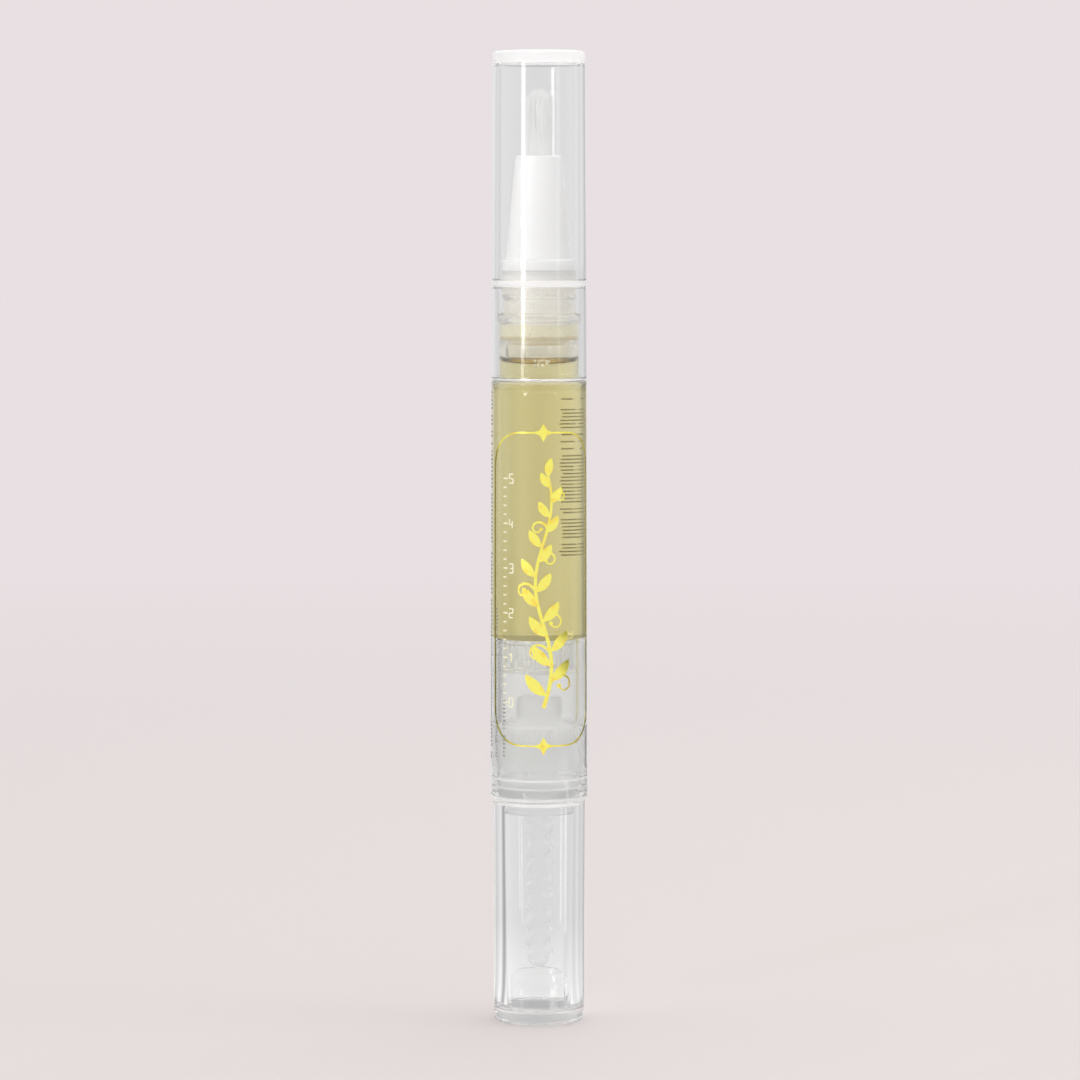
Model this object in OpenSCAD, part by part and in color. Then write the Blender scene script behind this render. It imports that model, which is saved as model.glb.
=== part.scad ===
// Twist-up cuticle oil pen with a brush tip, standing on its knob with the cap on.
// Millimetres. Z runs up the pen and the origin is the middle of the foot.
// Turning the knob turns the screw rod through the fixed nut, which lifts the piston.

/* [Foot plug] */
// Thickness of the foot disc
foot_h = 1.65; // [1:0.05:3]
// Edge radius of the foot disc
foot_edge_r = 0.3; // [0.1:0.05:0.6]
// Height of the flat-sided tenon that holds the plug in the knob
tenon_h = 3.85; // [2:0.05:5]
// Chamfer at the top of the tenon
tenon_chamfer = 0.7; // [0.2:0.1:1.2]
// Number of sides of the tenon
tenon_sides = 6; // [4:1:8]
// Angle of the tenon's first corner
tenon_turn = 46; // [0:1:90]
// Depth of the sink mark under the foot
foot_dish_h = 0.25; // [0.1:0.05:0.6]

/* [Knob] */
// Length of the knob above the foot disc
knob_h = 23.45; // [18:0.05:30]
// Outer diameter of the knob at the joint
knob_top_d = 10.37; // [9.8:0.01:10.8]
// Outer diameter of the knob at the foot
knob_foot_d = 10.13; // [9.5:0.01:10.5]
// Bore of the knob at the joint
knob_bore_top_d = 7.9; // [7.2:0.1:8.4]
// Bore of the knob at the foot
knob_bore_foot_d = 7.3; // [6.8:0.1:7.8]
// Edge radius at the top of the knob
knob_edge_r = 0.3; // [0.1:0.05:0.5]

/* [Barrel] */
// Length of the barrel from the joint to the shoulder
barrel_h = 46.95; // [42:0.05:60]
// Outer diameter of the barrel at the joint
barrel_foot_d = 10.92; // [10.6:0.02:11.5]
// Outer diameter of the barrel at the shoulder
barrel_top_d = 10.62; // [10.4:0.02:11.3]
// Bore that the piston runs in
bore_d = 8.4; // [7.8:0.1:8.7]
// Wider bore in the tail that holds the mechanism
tail_bore_d = 9.1; // [9:0.05:9.3]
// Length of the wider bore
tail_h = 8.5; // [7.9:0.1:9.5]
// Height of the lead-in slope at the open end of the tail bore
lead_in_h = 0.95; // [0.5:0.05:1.2]
// How far the lead-in slope opens the tail bore
lead_in_reach = 0.25; // [0.1:0.05:0.3]
// Edge radius of the shoulder and the foot
barrel_edge_r = 0.25; // [0.1:0.05:0.4]
// Length of the slope between the bore and the neck's bore
throat_h = 1.1; // [0.8:0.1:2]

/* [Neck] */
// Length of the neck above the shoulder
neck_h = 12.2; // [11:0.1:14]
// Outer diameter of the lower neck
neck_root_d = 8.88; // [8.6:0.02:9]
// Length of the lower neck
neck_root_h = 6.65; // [5:0.05:8]
// Outer diameter of the upper neck
neck_tip_d = 8; // [7.8:0.05:8.2]
// Diameter of the collar at the top of the neck
collar_d = 8.3; // [8.2:0.05:8.5]
// Height of the collar
collar_h = 3.1; // [1:0.1:3.5]
// Bore of the neck
neck_bore_d = 6.9; // [6.5:0.1:7.1]
// Diameter of the snap bead that holds the cap
bead_d = 9.36; // [9.2:0.02:9.5]
// Height of the snap bead
bead_h = 0.9; // [0.5:0.1:1.4]

/* [Cap] */
// Length of the cap
cap_h = 36.5; // [36:0.1:45]
// Outer diameter of the cap at its closed end
cap_top_d = 10.23; // [10:0.01:10.8]
// Outer diameter of the cap at its mouth
cap_mouth_d = 10.66; // [10.5:0.01:11.2]
// Bore above the step
cap_bore_d = 9.02; // [8.9:0.02:9.3]
// Bore just under the closed end
cap_bore_top_d = 8.9; // [8.6:0.05:9.1]
// Wider bore that goes over the neck
cap_mouth_bore_d = 9.56; // [9.52:0.02:9.7]
// Depth of the wider bore
cap_mouth_bore_h = 11.1; // [9:0.1:12]
// Height of the slope between the two bores
cap_step_h = 0.75; // [0.3:0.05:1.2]
// Thickness of the closed end
cap_top_h = 1.12; // [0.8:0.02:2]
// Edge radius of the closed end
cap_edge_r = 0.4; // [0.1:0.05:0.7]

/* [Brush holder] */
// Diameter of the flange that sits on the neck
flange_d = 8.25; // [8:0.05:8.6]
// Thickness of the flange
flange_h = 1.3; // [1:0.1:2]
// Length of the cone above the flange
cone_h = 11.5; // [9:0.1:14]
// Diameter of the cone at the flange
cone_foot_d = 7.4; // [7:0.05:7.8]
// Diameter of the cone at the bristles
cone_tip_d = 5.2; // [4.8:0.05:6]
// Depth of the socket that holds the bristles
socket_h = 3.8; // [2.5:0.1:5]
// Diameter of the spigot under the flange
spigot_d = 4.6; // [4.2:0.1:5]
// Length of the spigot under the flange
spigot_h = 4.5; // [3:0.1:5.5]

/* [Neck plug] */
// Height of the plug in the neck
plug_h = 8.2; // [7:0.1:9]
// Diameter of the plug between its ribs
plug_body_d = 6.4; // [6:0.05:6.6]
// Height of one sealing rib
plug_rib_h = 1.9; // [0.3:0.05:2]
// Number of sealing ribs
plug_ribs = 3; // [2:1:4]

/* [Feed tube] */
// Outer diameter of the feed tube
tube_d = 2.7; // [2.4:0.05:2.9]
// Bore of the feed tube
tube_bore_d = 1.6; // [1:0.1:2]

/* [Bristles] */
// Diameter of the tuft
tuft_d = 3.24; // [2.8:0.02:3.4]
// How far the tuft stands out of the holder
tuft_out = 7.5; // [5:0.1:9]
// Height of the rounded tip
tuft_dome_h = 1.5; // [0.5:0.1:2]
// Number of strands
strand_count = 400; // [300:10:500]
// Diameter of one strand
strand_d = 0.1; // [0.08:0.005:0.1]
// Thickness of the slice that the strands are fused to
backing_h = 0.9; // [0.5:0.1:1.5]

/* [Oil] */
// Height of the oil's surface above the shoulder, where it meets the neck
oil_up = 2.65; // [1.5:0.05:3]
// Depth of the curved surface
meniscus_h = 0.9; // [0.3:0.1:1.1]

/* [Piston] */
// Height of the piston
piston_h = 3.8; // [3.4:0.1:4.5]
// Height of each sealing lip
lip_h = 0.4; // [0.3:0.05:0.8]
// Diameter between the lips
waist_d = 7.2; // [6.8:0.1:7.6]
// Number of fine ribs between the lips
waist_ribs = 48; // [12:1:60]
// Height of a fine rib above the waist
waist_rib_h = 0.3; // [0.1:0.05:0.35]
// Width of a fine rib
waist_rib_w = 0.2; // [0.1:0.05:0.4]

/* [Screw rod] */
// Outer diameter of the thread
rod_d = 3.1; // [2.9:0.05:3.3]
// Diameter at the root of the thread
rod_root_d = 2.4; // [2.2:0.05:2.5]
// Distance between the two driven flats
rod_flat = 2.3; // [2.1:0.05:2.35]
// Rise of the thread in one turn
pitch = 2; // [1.8:0.05:2.2]
// Turns of thread on the rod
thread_turns = 15; // [14:1:15]
// Turns of the knob from full to empty
knob_turns = 12; // [8:1:12]
// Diameter of the rod's head in the piston
head_d = 3.2; // [2.8:0.05:3.4]
// Thickness of the head
head_h = 0.9; // [0.6:0.1:1.2]
// Diameter of the stem between thread and head
stem_d = 1.9; // [1.6:0.05:2.1]
// Length of the stem between thread and head
stem_h = 1.5; // [1.4:0.1:2.2]
// Radius of the rounded tail
tail_round_r = 1; // [0.5:0.1:1.1]
// Gap between the rod's tail and the tenon
tail_gap = 0.45; // [0.3:0.05:1]

/* [Guide nut] */
// Height of the nut's flange in the tail bore
nut_h = 2; // [1.6:0.1:2.6]
// Height of the threaded boss above the flange
boss_h = 2.8; // [2:0.1:3]
// Diameter of the threaded boss
boss_d = 5.2; // [4.8:0.1:6]
// Width of the two keys that stop the nut and the ring from turning
key_w = 1; // [0.8:0.1:1.4]
// How far a key stands into the wall
key_h = 0.3; // [0.2:0.05:0.35]

/* [Ratchet] */
// Height of the ratchet ring
ring_h = 3; // [2.6:0.1:3.3]
// Diameter over the tips of the teeth
teeth_tip_d = 7.2; // [7:0.05:7.4]
// Depth of a tooth
tooth_h = 0.4; // [0.25:0.05:0.5]
// Number of teeth
teeth = 18; // [12:1:24]
// Number of spring fingers
fingers = 3; // [2:1:4]
// Thickness of a finger
finger_t = 0.45; // [0.35:0.05:0.55]
// Height of a finger
finger_h = 1.3; // [1:0.1:1.6]
// Angle that a finger spans
finger_span = 74; // [50:1:80]

/* [Drive sleeve] */
// Depth of the skirt in the knob
skirt_h = 1.4; // [1:0.1:4]
// Thickness of the skirt's wall
skirt_t = 0.8; // [0.6:0.05:1]
// Height of the bearing ring in the barrel's tail
bearing_h = 2.5; // [2:0.1:2.7]
// Height of the snap ring at the top of the bearing ring
snap_h = 0.75; // [0.5:0.05:1]
// How far the snap ring stands into its groove
snap_reach = 0.16; // [0.1:0.02:0.2]
// Diameter of the driving stem
drive_d = 4.6; // [4.4:0.05:4.8]
// Height of the keyed bore at the top of the stem
key_bore_h = 3; // [2:0.1:3.5]

/* [Fits] */
// Gap between pieces pressed together
press_gap = 0.02; // [0.01:0.005:0.03]
// Gap round the piston's lips
piston_gap = 0.05; // [0.03:0.01:0.08]
// Gap between pieces that turn on each other
run_gap = 0.1; // [0.06:0.01:0.12]
// Gap all round the thread
thread_gap = 0.12; // [0.08:0.01:0.14]
// Gap between the knob and the barrel
joint_gap = 0.15; // [0.1:0.01:0.25]
// Gap between the cap's mouth and the shoulder
seat_gap = 0.1; // [0.05:0.01:0.2]

/* [Hidden] */
$fn = 96;
overrun = 0.2;
edge_steps = 4;
thread_sides = 24;
root_share = 0.3;
crest_share = 0.22;
strand_sides = 3;
strand_tip_share = 0.6;
tuft_spread_share = 0.96;
golden_turn = 137.508;
quarter = 90;
half_turn = 180;
turn = 360;

knob_z = foot_h;
knob_top_z = knob_z + knob_h;
barrel_z = knob_top_z + joint_gap;
shoulder_z = barrel_z + barrel_h;
neck_top_z = shoulder_z + neck_h;
cone_z = neck_top_z + flange_h;
cone_tip_z = cone_z + cone_h;
tuft_tip_z = cone_tip_z + tuft_out;
cap_z = shoulder_z + seat_gap;
cap_top_z = cap_z + cap_h;

nut_top_z = barrel_z + tail_h;
nut_z = nut_top_z - nut_h;
ring_z = nut_z - ring_h;
bearing_top_z = knob_top_z + bearing_h;
drive_top_z = nut_z - run_gap;

rod_z = foot_h + tenon_h + tail_gap;
thread_lead = pitch * root_share;
thread_z = rod_z + thread_lead;
thread_top_z = thread_z + pitch * (thread_turns + 1 - root_share) + thread_lead;
head_z = thread_top_z + stem_h;
piston_z = thread_top_z + stem_h - lip_h - piston_gap * 2;
piston_top_z = piston_z + piston_h;
piston_travel = pitch * knob_turns;

throat_z = shoulder_z - throat_h;
oil_z = shoulder_z + oil_up;
plug_z = neck_top_z - plug_h;
socket_z = cone_tip_z - socket_h;

bead_z = shoulder_z + neck_root_h;
snap_z = bearing_top_z - snap_h;
finger_z = ring_z + (ring_h - finger_h) / 2;

echo(total_length = cap_top_z, piston_travel = piston_travel, strand_gap = strand_gap());

// Points of an arc round centre c, from angle a to angle b
function arc(c, r, a, b) =
    [for (i = [0 : edge_steps]) let (t = a + (b - a) * i / edge_steps) c + r * [cos(t), sin(t)]];

// A round piece turned from half its section
module turned(points) rotate_extrude() polygon(points);

// A wall with a hole of two diameters, open at both ends
module tapered_bore(z, h, foot_r, top_r) {
    slope = (top_r - foot_r) / h;
    translate([0, 0, z - overrun])
        cylinder(h = h + overrun * 2, r1 = foot_r - slope * overrun, r2 = top_r + slope * overrun);
}

// The round bar with two flats that drives the rod, or the hole that takes it
module flatted(z, h, d, flat) {
    intersection() {
        translate([0, 0, z]) cylinder(h = h, d = d);
        translate([-d, -flat / 2, z - overrun]) cube([d * 2, flat, h + overrun * 2]);
    }
}

// Radius of a point of the thread at angle a, cut back by the two flats
function flatted_r(r, a, flat) = min(r, flat / 2 / max(abs(sin(a)), flat / 2 / r));

// Right-hand thread as one closed surface. Each column of four points is the
// section of the ridge: root, crest, crest, root. A rim of root points closes each end.
module thread(z, turns, root_r, crest_r, flat, widen, lead) {
    n = thread_sides;
    last = turns * n;
    flank = pitch * (1 - root_share - crest_share) / 2;
    crest_h = pitch * crest_share + widen * 2;
    heights = [0, flank, flank + crest_h, flank * 2 + crest_h];
    radii = [root_r, crest_r, crest_r, root_r];
    top = z + heights[3] + pitch * turns + lead;
    angles = [for (k = [0 : last]) turn * k / n];
    column = [for (k = [0 : last], m = [0 : 3])
        let (r = flatted_r(radii[m], angles[k], flat))
        [r * cos(angles[k]), r * sin(angles[k]), z - widen + heights[m] + pitch * k / n]];
    rim = [for (k = [0 : n - 1])
        let (r = flatted_r(root_r, angles[k], flat)) [r * cos(angles[k]), r * sin(angles[k])]];
    foot = len(column);
    head = foot + n;
    points = concat(column, [for (p = rim) [p[0], p[1], z - widen - lead]],
        [for (p = rim) [p[0], p[1], top]]);
    ridge = [for (k = [0 : last - 1], m = [0 : 2])
        each quad(4 * k + m, 4 * k + m + 1, 4 * k + m + 5, 4 * k + m + 4)];
    valley = [for (k = [0 : last - n - 1])
        each quad(4 * k + 3, 4 * (k + n), 4 * (k + n) + 4, 4 * k + 7)];
    low_wall = [for (k = [0 : n - 2]) each quad(foot + k, 4 * k, 4 * k + 4, foot + k + 1)];
    low_seam = fan([foot + n - 1, 4 * (n - 1), 4 * n, 3, 0, foot]);
    high = last - n;
    high_wall = [for (k = [1 : n - 1])
        each quad(4 * (high + k) + 3, head + k, head + (k + 1) % n, 4 * (high + k) + 7)];
    high_seam = fan([head + 1, 4 * (high + 1) + 3, 4 * high + 3, 4 * last, 4 * last + 3, head]);
    ends = concat(fan([0, 3, 2, 1]), fan([4 * last, 4 * last + 1, 4 * last + 2, 4 * last + 3]),
        fan([for (k = [0 : n - 1]) foot + k]), fan([for (k = [n - 1 : -1 : 0]) head + k]));
    polyhedron(points, concat(ridge, valley, low_wall, low_seam, high_wall, high_seam, ends));
}

function quad(a, b, c, d) = [[a, b, c], [a, c, d]];
function fan(loop) = [for (i = [1 : len(loop) - 2]) [loop[0], loop[i], loop[i + 1]]];

module foot_plug() color("gainsboro") {
    corner_r = knob_bore_foot_d / 2 - press_gap;
    top = foot_h + tenon_h;
    difference() {
        turned(concat([[0, 0]], arc([knob_foot_d / 2 - foot_edge_r, foot_edge_r], foot_edge_r, -quarter, 0),
            [[knob_foot_d / 2, foot_h], [0, foot_h]]));
        translate([0, 0, -overrun]) cylinder(h = foot_dish_h + overrun, d = knob_bore_foot_d);
    }
    intersection() {
        translate([0, 0, foot_h - overrun]) rotate(tenon_turn)
            cylinder(h = tenon_h + overrun, r = corner_r, $fn = tenon_sides);
        turned([[0, 0], [corner_r, 0], [corner_r, top - tenon_chamfer], [corner_r - tenon_chamfer, top],
            [0, top]]);
    }
}

module knob() color("whitesmoke") {
    top = knob_top_z;
    difference() {
        turned(concat([[0, knob_z], [knob_foot_d / 2, knob_z]],
            arc([knob_top_d / 2 - knob_edge_r, top - knob_edge_r], knob_edge_r, 0, quarter), [[0, top]]));
        tapered_bore(knob_z, knob_h, knob_bore_foot_d / 2, knob_bore_top_d / 2);
    }
}

module barrel() color("whitesmoke") {
    tail_r = tail_bore_d / 2;
    groove_r = tail_r + snap_reach;
    root_r = neck_root_d / 2;
    tip_r = neck_tip_d / 2;
    bead_r = bead_d / 2;
    collar_z = neck_top_z - collar_h;
    chamfer = (collar_d - neck_tip_d) / 2;
    bead_slope = bead_r - root_r;
    difference() {
        turned(concat(
            [[0, barrel_z]],
            arc([barrel_foot_d / 2 - barrel_edge_r, barrel_z + barrel_edge_r], barrel_edge_r, -quarter, 0),
            arc([barrel_top_d / 2 - barrel_edge_r, shoulder_z - barrel_edge_r], barrel_edge_r, 0, quarter),
            [[root_r, shoulder_z], [root_r, bead_z - bead_slope], [bead_r, bead_z],
             [bead_r, bead_z + bead_h - bead_slope], [tip_r, bead_z + bead_h],
             [tip_r, collar_z], [collar_d / 2, collar_z + chamfer],
             [collar_d / 2, neck_top_z - chamfer], [collar_d / 2 - chamfer, neck_top_z],
             [0, neck_top_z]]));
        translate([0, 0, barrel_z - overrun]) cylinder(h = tail_h + overrun, d = tail_bore_d);
        translate([0, 0, snap_z - run_gap]) cylinder(h = snap_h + run_gap * 2, r = groove_r + run_gap);
        translate([0, 0, barrel_z]) cylinder(h = throat_z - barrel_z, d = bore_d);
        translate([0, 0, throat_z]) cylinder(h = throat_h, d1 = bore_d, d2 = neck_bore_d);
        translate([0, 0, shoulder_z]) cylinder(h = neck_h + overrun, d = neck_bore_d);
        tapered_bore(barrel_z, lead_in_h, tail_r + lead_in_reach, tail_r);
        keys(barrel_z - overrun, tail_h + overrun, key_w + press_gap * 2, key_h + press_gap);
    }
}

// Two keys on the side of the tail bore, or the slots that take them
module keys(z, h, w, reach) {
    for (a = [0, half_turn]) rotate(a)
        translate([tail_bore_d / 2 - reach, -w / 2, z]) cube([reach * 2, w, h]);
}

module guide_nut() color("gainsboro") {
    difference() {
        union() {
            translate([0, 0, nut_z]) cylinder(h = nut_h, r = tail_bore_d / 2 - press_gap);
            translate([0, 0, nut_z]) cylinder(h = nut_h + boss_h, d = boss_d);
            keys_on_ring(nut_z, nut_h);
        }
        thread(thread_z + pitch * floor((nut_z - thread_z) / pitch) - pitch,
            ceil((nut_h + boss_h) / pitch) + 2, rod_root_d / 2 + thread_gap, rod_d / 2 + thread_gap,
            rod_d * 2, thread_gap, thread_lead);
    }
}

// The nut's and the ring's own keys, which reach key_h past the tail bore
module keys_on_ring(z, h) {
    for (a = [0, half_turn]) rotate(a)
        translate([boss_d / 2, -key_w / 2, z]) cube([tail_bore_d / 2 + key_h - boss_d / 2, key_w, h]);
}

module ratchet_ring() color("white") {
    outer_r = tail_bore_d / 2 - press_gap;
    tip_r = teeth_tip_d / 2;
    step = turn / teeth;
    difference() {
        union() {
            translate([0, 0, ring_z]) cylinder(h = ring_h, r = outer_r);
            intersection() {
                keys_on_ring(ring_z, ring_h);
                difference() {
                    translate([0, 0, ring_z]) cylinder(h = ring_h, d = tail_bore_d + key_h * 4);
                    translate([0, 0, ring_z - overrun])
                        cylinder(h = ring_h + overrun * 2, r = outer_r - overrun);
                }
            }
        }
        translate([0, 0, ring_z - overrun]) linear_extrude(ring_h + overrun * 2)
            polygon([for (i = [0 : teeth - 1], side = [0, 1])
                let (r = tip_r + tooth_h * side, a = step * i) [r * cos(a), r * sin(a)]
            ]);
    }
}

module drive_sleeve() color("white") {
    skirt_r = knob_bore_top_d / 2 - press_gap;
    draft = (knob_bore_top_d - knob_bore_foot_d) / 2 / knob_h * skirt_h;
    bearing_r = tail_bore_d / 2 - run_gap;
    snap_r = bearing_r + snap_reach;
    way_r = rod_d / 2 + run_gap * 2;
    key_z = drive_top_z - key_bore_h;
    ramp = snap_reach;
    difference() {
        union() {
            turned([[0, knob_top_z - skirt_h], [skirt_r - draft, knob_top_z - skirt_h],
                [skirt_r, knob_top_z], [bearing_r, knob_top_z], [bearing_r, snap_z - ramp], [snap_r, snap_z],
                [snap_r, bearing_top_z - ramp], [bearing_r, bearing_top_z], [0, bearing_top_z]]);
            translate([0, 0, knob_top_z]) cylinder(h = drive_top_z - knob_top_z, d = drive_d);
            for (i = [0 : fingers - 1]) rotate(turn / fingers * i) finger();
        }
        translate([0, 0, knob_top_z - skirt_h - overrun])
            cylinder(h = skirt_h + overrun, r = skirt_r - draft - skirt_t);
        translate([0, 0, knob_top_z - skirt_h]) cylinder(h = key_z - knob_top_z + skirt_h, r = way_r);
        flatted(key_z - overrun, key_bore_h + overrun * 2, way_r * 2, rod_flat + run_gap * 2);
    }
}

// One spring finger: an arm from the stem, a curved blade and a tip that lies on the teeth
module finger() {
    tip_r = teeth_tip_d / 2 - run_gap;
    blade_r = tip_r - tooth_h / 2;
    tip_w = finger_t;
    translate([0, 0, finger_z]) {
        translate([drive_d / 2 - overrun, -finger_t / 2, 0])
            cube([blade_r - finger_t / 2 - drive_d / 2 + overrun, finger_t, finger_h]);
        rotate_extrude(angle = finger_span)
            translate([blade_r - finger_t, 0]) square([finger_t, finger_h]);
        rotate(finger_span) intersection() {
            translate([blade_r - finger_t, -tip_w, 0]) cube([tip_r, tip_w, finger_h]);
            cylinder(h = finger_h, r = tip_r);
        }
    }
}

module screw_rod() color("white") {
    root_r = rod_root_d / 2;
    clear_r = rod_d / 2 + overrun;
    clear_z = thread_top_z + overrun;
    round_z = rod_z + tail_round_r;
    // The thread is trimmed to a rounded tail
    intersection() {
        thread(thread_z, thread_turns, root_r, rod_d / 2, rod_flat, 0, thread_lead);
        turned(concat([[0, rod_z]], arc([root_r - tail_round_r, round_z], tail_round_r, -quarter, 0),
            [[clear_r, round_z + clear_r - root_r], [clear_r, clear_z], [0, clear_z]]));
    }
    turned([[0, thread_top_z - overrun], [stem_d / 2, thread_top_z - overrun], [stem_d / 2, head_z],
        [head_d / 2, head_z], [head_d / 2, head_z + head_h / 3],
        [head_d / 4, head_z + head_h], [0, head_z + head_h]]);
}

module piston() color("white") {
    lip_r = bore_d / 2 - piston_gap;
    waist_r = waist_d / 2;
    top = piston_top_z;
    hole_r = stem_d / 2 + run_gap;
    room_r = head_d / 2 + run_gap;
    difference() {
        union() {
            turned([[0, piston_z], [lip_r - lip_h / 3, piston_z], [lip_r, piston_z + lip_h / 3],
                [lip_r, piston_z + lip_h], [waist_r, piston_z + lip_h * 3 / 2],
                [waist_r, top - lip_h * 3 / 2], [lip_r, top - lip_h], [lip_r, top], [0, top]]);
            for (i = [0 : waist_ribs - 1]) rotate(turn / waist_ribs * i)
                translate([waist_r - waist_rib_h, -waist_rib_w / 2, piston_z + lip_h / 2])
                    cube([waist_rib_h * 2, waist_rib_w, piston_h - lip_h]);
        }
        translate([0, 0, piston_z - overrun]) cylinder(h = lip_h + overrun * 2, r = hole_r);
        translate([0, 0, head_z - piston_gap]) cylinder(h = head_h + piston_gap * 2, r = room_r);
    }
}

module oil_fill() color("olive") {
    r = bore_d / 2;
    neck_r = neck_bore_d / 2;
    // Radius of the sphere whose cap is the meniscus
    bowl_r = (neck_r * neck_r + meniscus_h * meniscus_h) / 2 / meniscus_h;
    difference() {
        turned([[0, piston_top_z + piston_gap], [r, piston_top_z + piston_gap], [r, throat_z],
            [neck_r, shoulder_z], [neck_r, oil_z], [0, oil_z]]);
        translate([0, 0, oil_z - meniscus_h + bowl_r]) sphere(r = bowl_r);
    }
}

module neck_plug() color("ivory") {
    body_r = plug_body_d / 2;
    rib_r = neck_bore_d / 2 - press_gap;
    slope = rib_r - body_r;
    step = (plug_h - slope * 2) / plug_ribs;
    difference() {
        union() {
            turned([[0, plug_z], [body_r - slope, plug_z], [body_r, plug_z + slope], [body_r, neck_top_z],
                [0, neck_top_z]]);
            for (i = [0 : plug_ribs - 1]) translate([0, 0, plug_z + slope * 2 + step * i])
                turned([[0, -slope], [body_r, -slope], [rib_r, 0], [rib_r, plug_rib_h],
                    [body_r, plug_rib_h + slope], [0, plug_rib_h + slope]]);
        }
        translate([0, 0, plug_z - overrun]) cylinder(h = plug_h + overrun * 2, d = tube_d + press_gap * 2);
        translate([0, 0, neck_top_z - spigot_h - press_gap])
            cylinder(h = spigot_h + overrun, d = spigot_d + press_gap * 2);
    }
}

module feed_tube() color("ghostwhite") {
    difference() {
        translate([0, 0, plug_z]) cylinder(h = socket_z - plug_z, d = tube_d);
        translate([0, 0, plug_z - overrun]) cylinder(h = socket_z - plug_z + overrun * 2, d = tube_bore_d);
    }
}

module brush_holder() color("white") {
    edge = flange_h / 5;
    r = flange_d / 2;
    tip_r = cone_tip_d / 2;
    difference() {
        turned(concat(
            [[0, neck_top_z - spigot_h], [spigot_d / 2, neck_top_z - spigot_h], [spigot_d / 2, neck_top_z]],
            arc([r - edge, neck_top_z + edge], edge, -quarter, 0),
            arc([r - edge, cone_z - edge], edge, 0, quarter),
            [[cone_foot_d / 2, cone_z]],
            arc([tip_r - edge, cone_tip_z - edge], edge, 0, quarter),
            [[0, cone_tip_z]]));
        translate([0, 0, neck_top_z - spigot_h - overrun])
            cylinder(h = socket_z - neck_top_z + spigot_h + overrun * 2, d = tube_d + press_gap * 2);
        translate([0, 0, socket_z]) cylinder(h = socket_h + overrun, d = tuft_d + press_gap * 2);
    }
}

// Least gap between two strands that lie on the spiral
function strand_gap() = let (spots = strand_spots(), last = strand_count - 1)
    min([for (i = [0 : last - 1], j = [i + 1 : last]) norm(spots[i] - spots[j])]) - strand_d;

// Strand places on a sunflower spiral, which fills a disc evenly
function strand_spots() = [for (i = [0 : strand_count - 1])
    let (r = (tuft_d - strand_d) / 2 * tuft_spread_share * sqrt((i + 1 / 2) / strand_count))
    r * [cos(golden_turn * i), sin(golden_turn * i)]];

// Strands stand upright on their slice, and their tips end on a dome
module brush_bristles() color("linen") {
    spots = strand_spots();
    tuft_r = tuft_d / 2;
    n = strand_sides;
    ring = [for (i = [0 : n - 1]) [cos(turn / n * i), sin(turn / n * i)] * strand_d / 2];
    low = socket_z + backing_h - overrun;
    points = [for (s = spots)
        let (tip = tuft_tip_z - tuft_dome_h * pow(norm(s) / tuft_r, 2))
        each concat([for (p = ring) [s[0] + p[0], s[1] + p[1], low]],
            [for (p = ring) [s[0] + p[0] * strand_tip_share, s[1] + p[1] * strand_tip_share, tip]])];
    faces = [for (k = [0 : len(spots) - 1]) let (a = k * n * 2)
        each concat([[a, a + 1, a + 2], [a + 5, a + 4, a + 3]],
            [for (i = [0 : n - 1]) each quad(a + i, a + n + i, a + n + (i + 1) % n, a + (i + 1) % n)])];
    resize([0, 0, 0]) union() {
        translate([0, 0, socket_z]) cylinder(h = backing_h, r = tuft_r);
        polyhedron(points, faces);
    }
}

module cap() color("whitesmoke") {
    top = cap_top_z;
    step_z = cap_z + cap_mouth_bore_h;
    roof_z = top - cap_top_h;
    chamfer = (cap_mouth_bore_d - cap_bore_d) / 2;
    difference() {
        turned(concat([[0, cap_z], [cap_mouth_d / 2, cap_z]],
            arc([cap_top_d / 2 - cap_edge_r, top - cap_edge_r], cap_edge_r, 0, quarter), [[0, top]]));
        turned(concat([[0, cap_z - overrun], [cap_mouth_bore_d / 2 + chamfer, cap_z - overrun],
            [cap_mouth_bore_d / 2, cap_z + chamfer],
            [cap_mouth_bore_d / 2, step_z - cap_step_h], [cap_bore_d / 2, step_z]],
            arc([cap_bore_top_d / 2 - cap_edge_r, roof_z - cap_edge_r], cap_edge_r, 0, quarter),
            [[0, roof_z]]));
    }
}

cap();
brush_bristles();
brush_holder();
feed_tube();
neck_plug();
barrel();
oil_fill();
piston();
screw_rod();
guide_nut();
ratchet_ring();
drive_sleeve();
knob();
foot_plug();
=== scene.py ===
import math

import bmesh
import bpy
import numpy as np
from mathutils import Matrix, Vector


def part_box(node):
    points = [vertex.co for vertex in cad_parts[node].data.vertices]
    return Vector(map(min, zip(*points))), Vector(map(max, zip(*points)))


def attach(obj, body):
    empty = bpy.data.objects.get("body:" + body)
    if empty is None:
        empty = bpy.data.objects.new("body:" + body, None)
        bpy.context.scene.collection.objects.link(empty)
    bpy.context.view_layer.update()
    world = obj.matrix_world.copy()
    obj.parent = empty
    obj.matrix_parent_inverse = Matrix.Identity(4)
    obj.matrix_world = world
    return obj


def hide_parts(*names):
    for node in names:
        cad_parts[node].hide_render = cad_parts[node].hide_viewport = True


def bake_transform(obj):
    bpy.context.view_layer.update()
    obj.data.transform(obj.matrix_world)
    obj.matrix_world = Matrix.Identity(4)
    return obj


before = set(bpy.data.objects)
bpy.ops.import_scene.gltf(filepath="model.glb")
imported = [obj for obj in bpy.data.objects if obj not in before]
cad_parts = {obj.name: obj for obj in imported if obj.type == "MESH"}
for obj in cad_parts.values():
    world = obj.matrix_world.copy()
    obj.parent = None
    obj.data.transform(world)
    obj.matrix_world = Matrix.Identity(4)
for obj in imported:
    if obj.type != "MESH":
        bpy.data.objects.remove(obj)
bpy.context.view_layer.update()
print("frame loaded")

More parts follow.
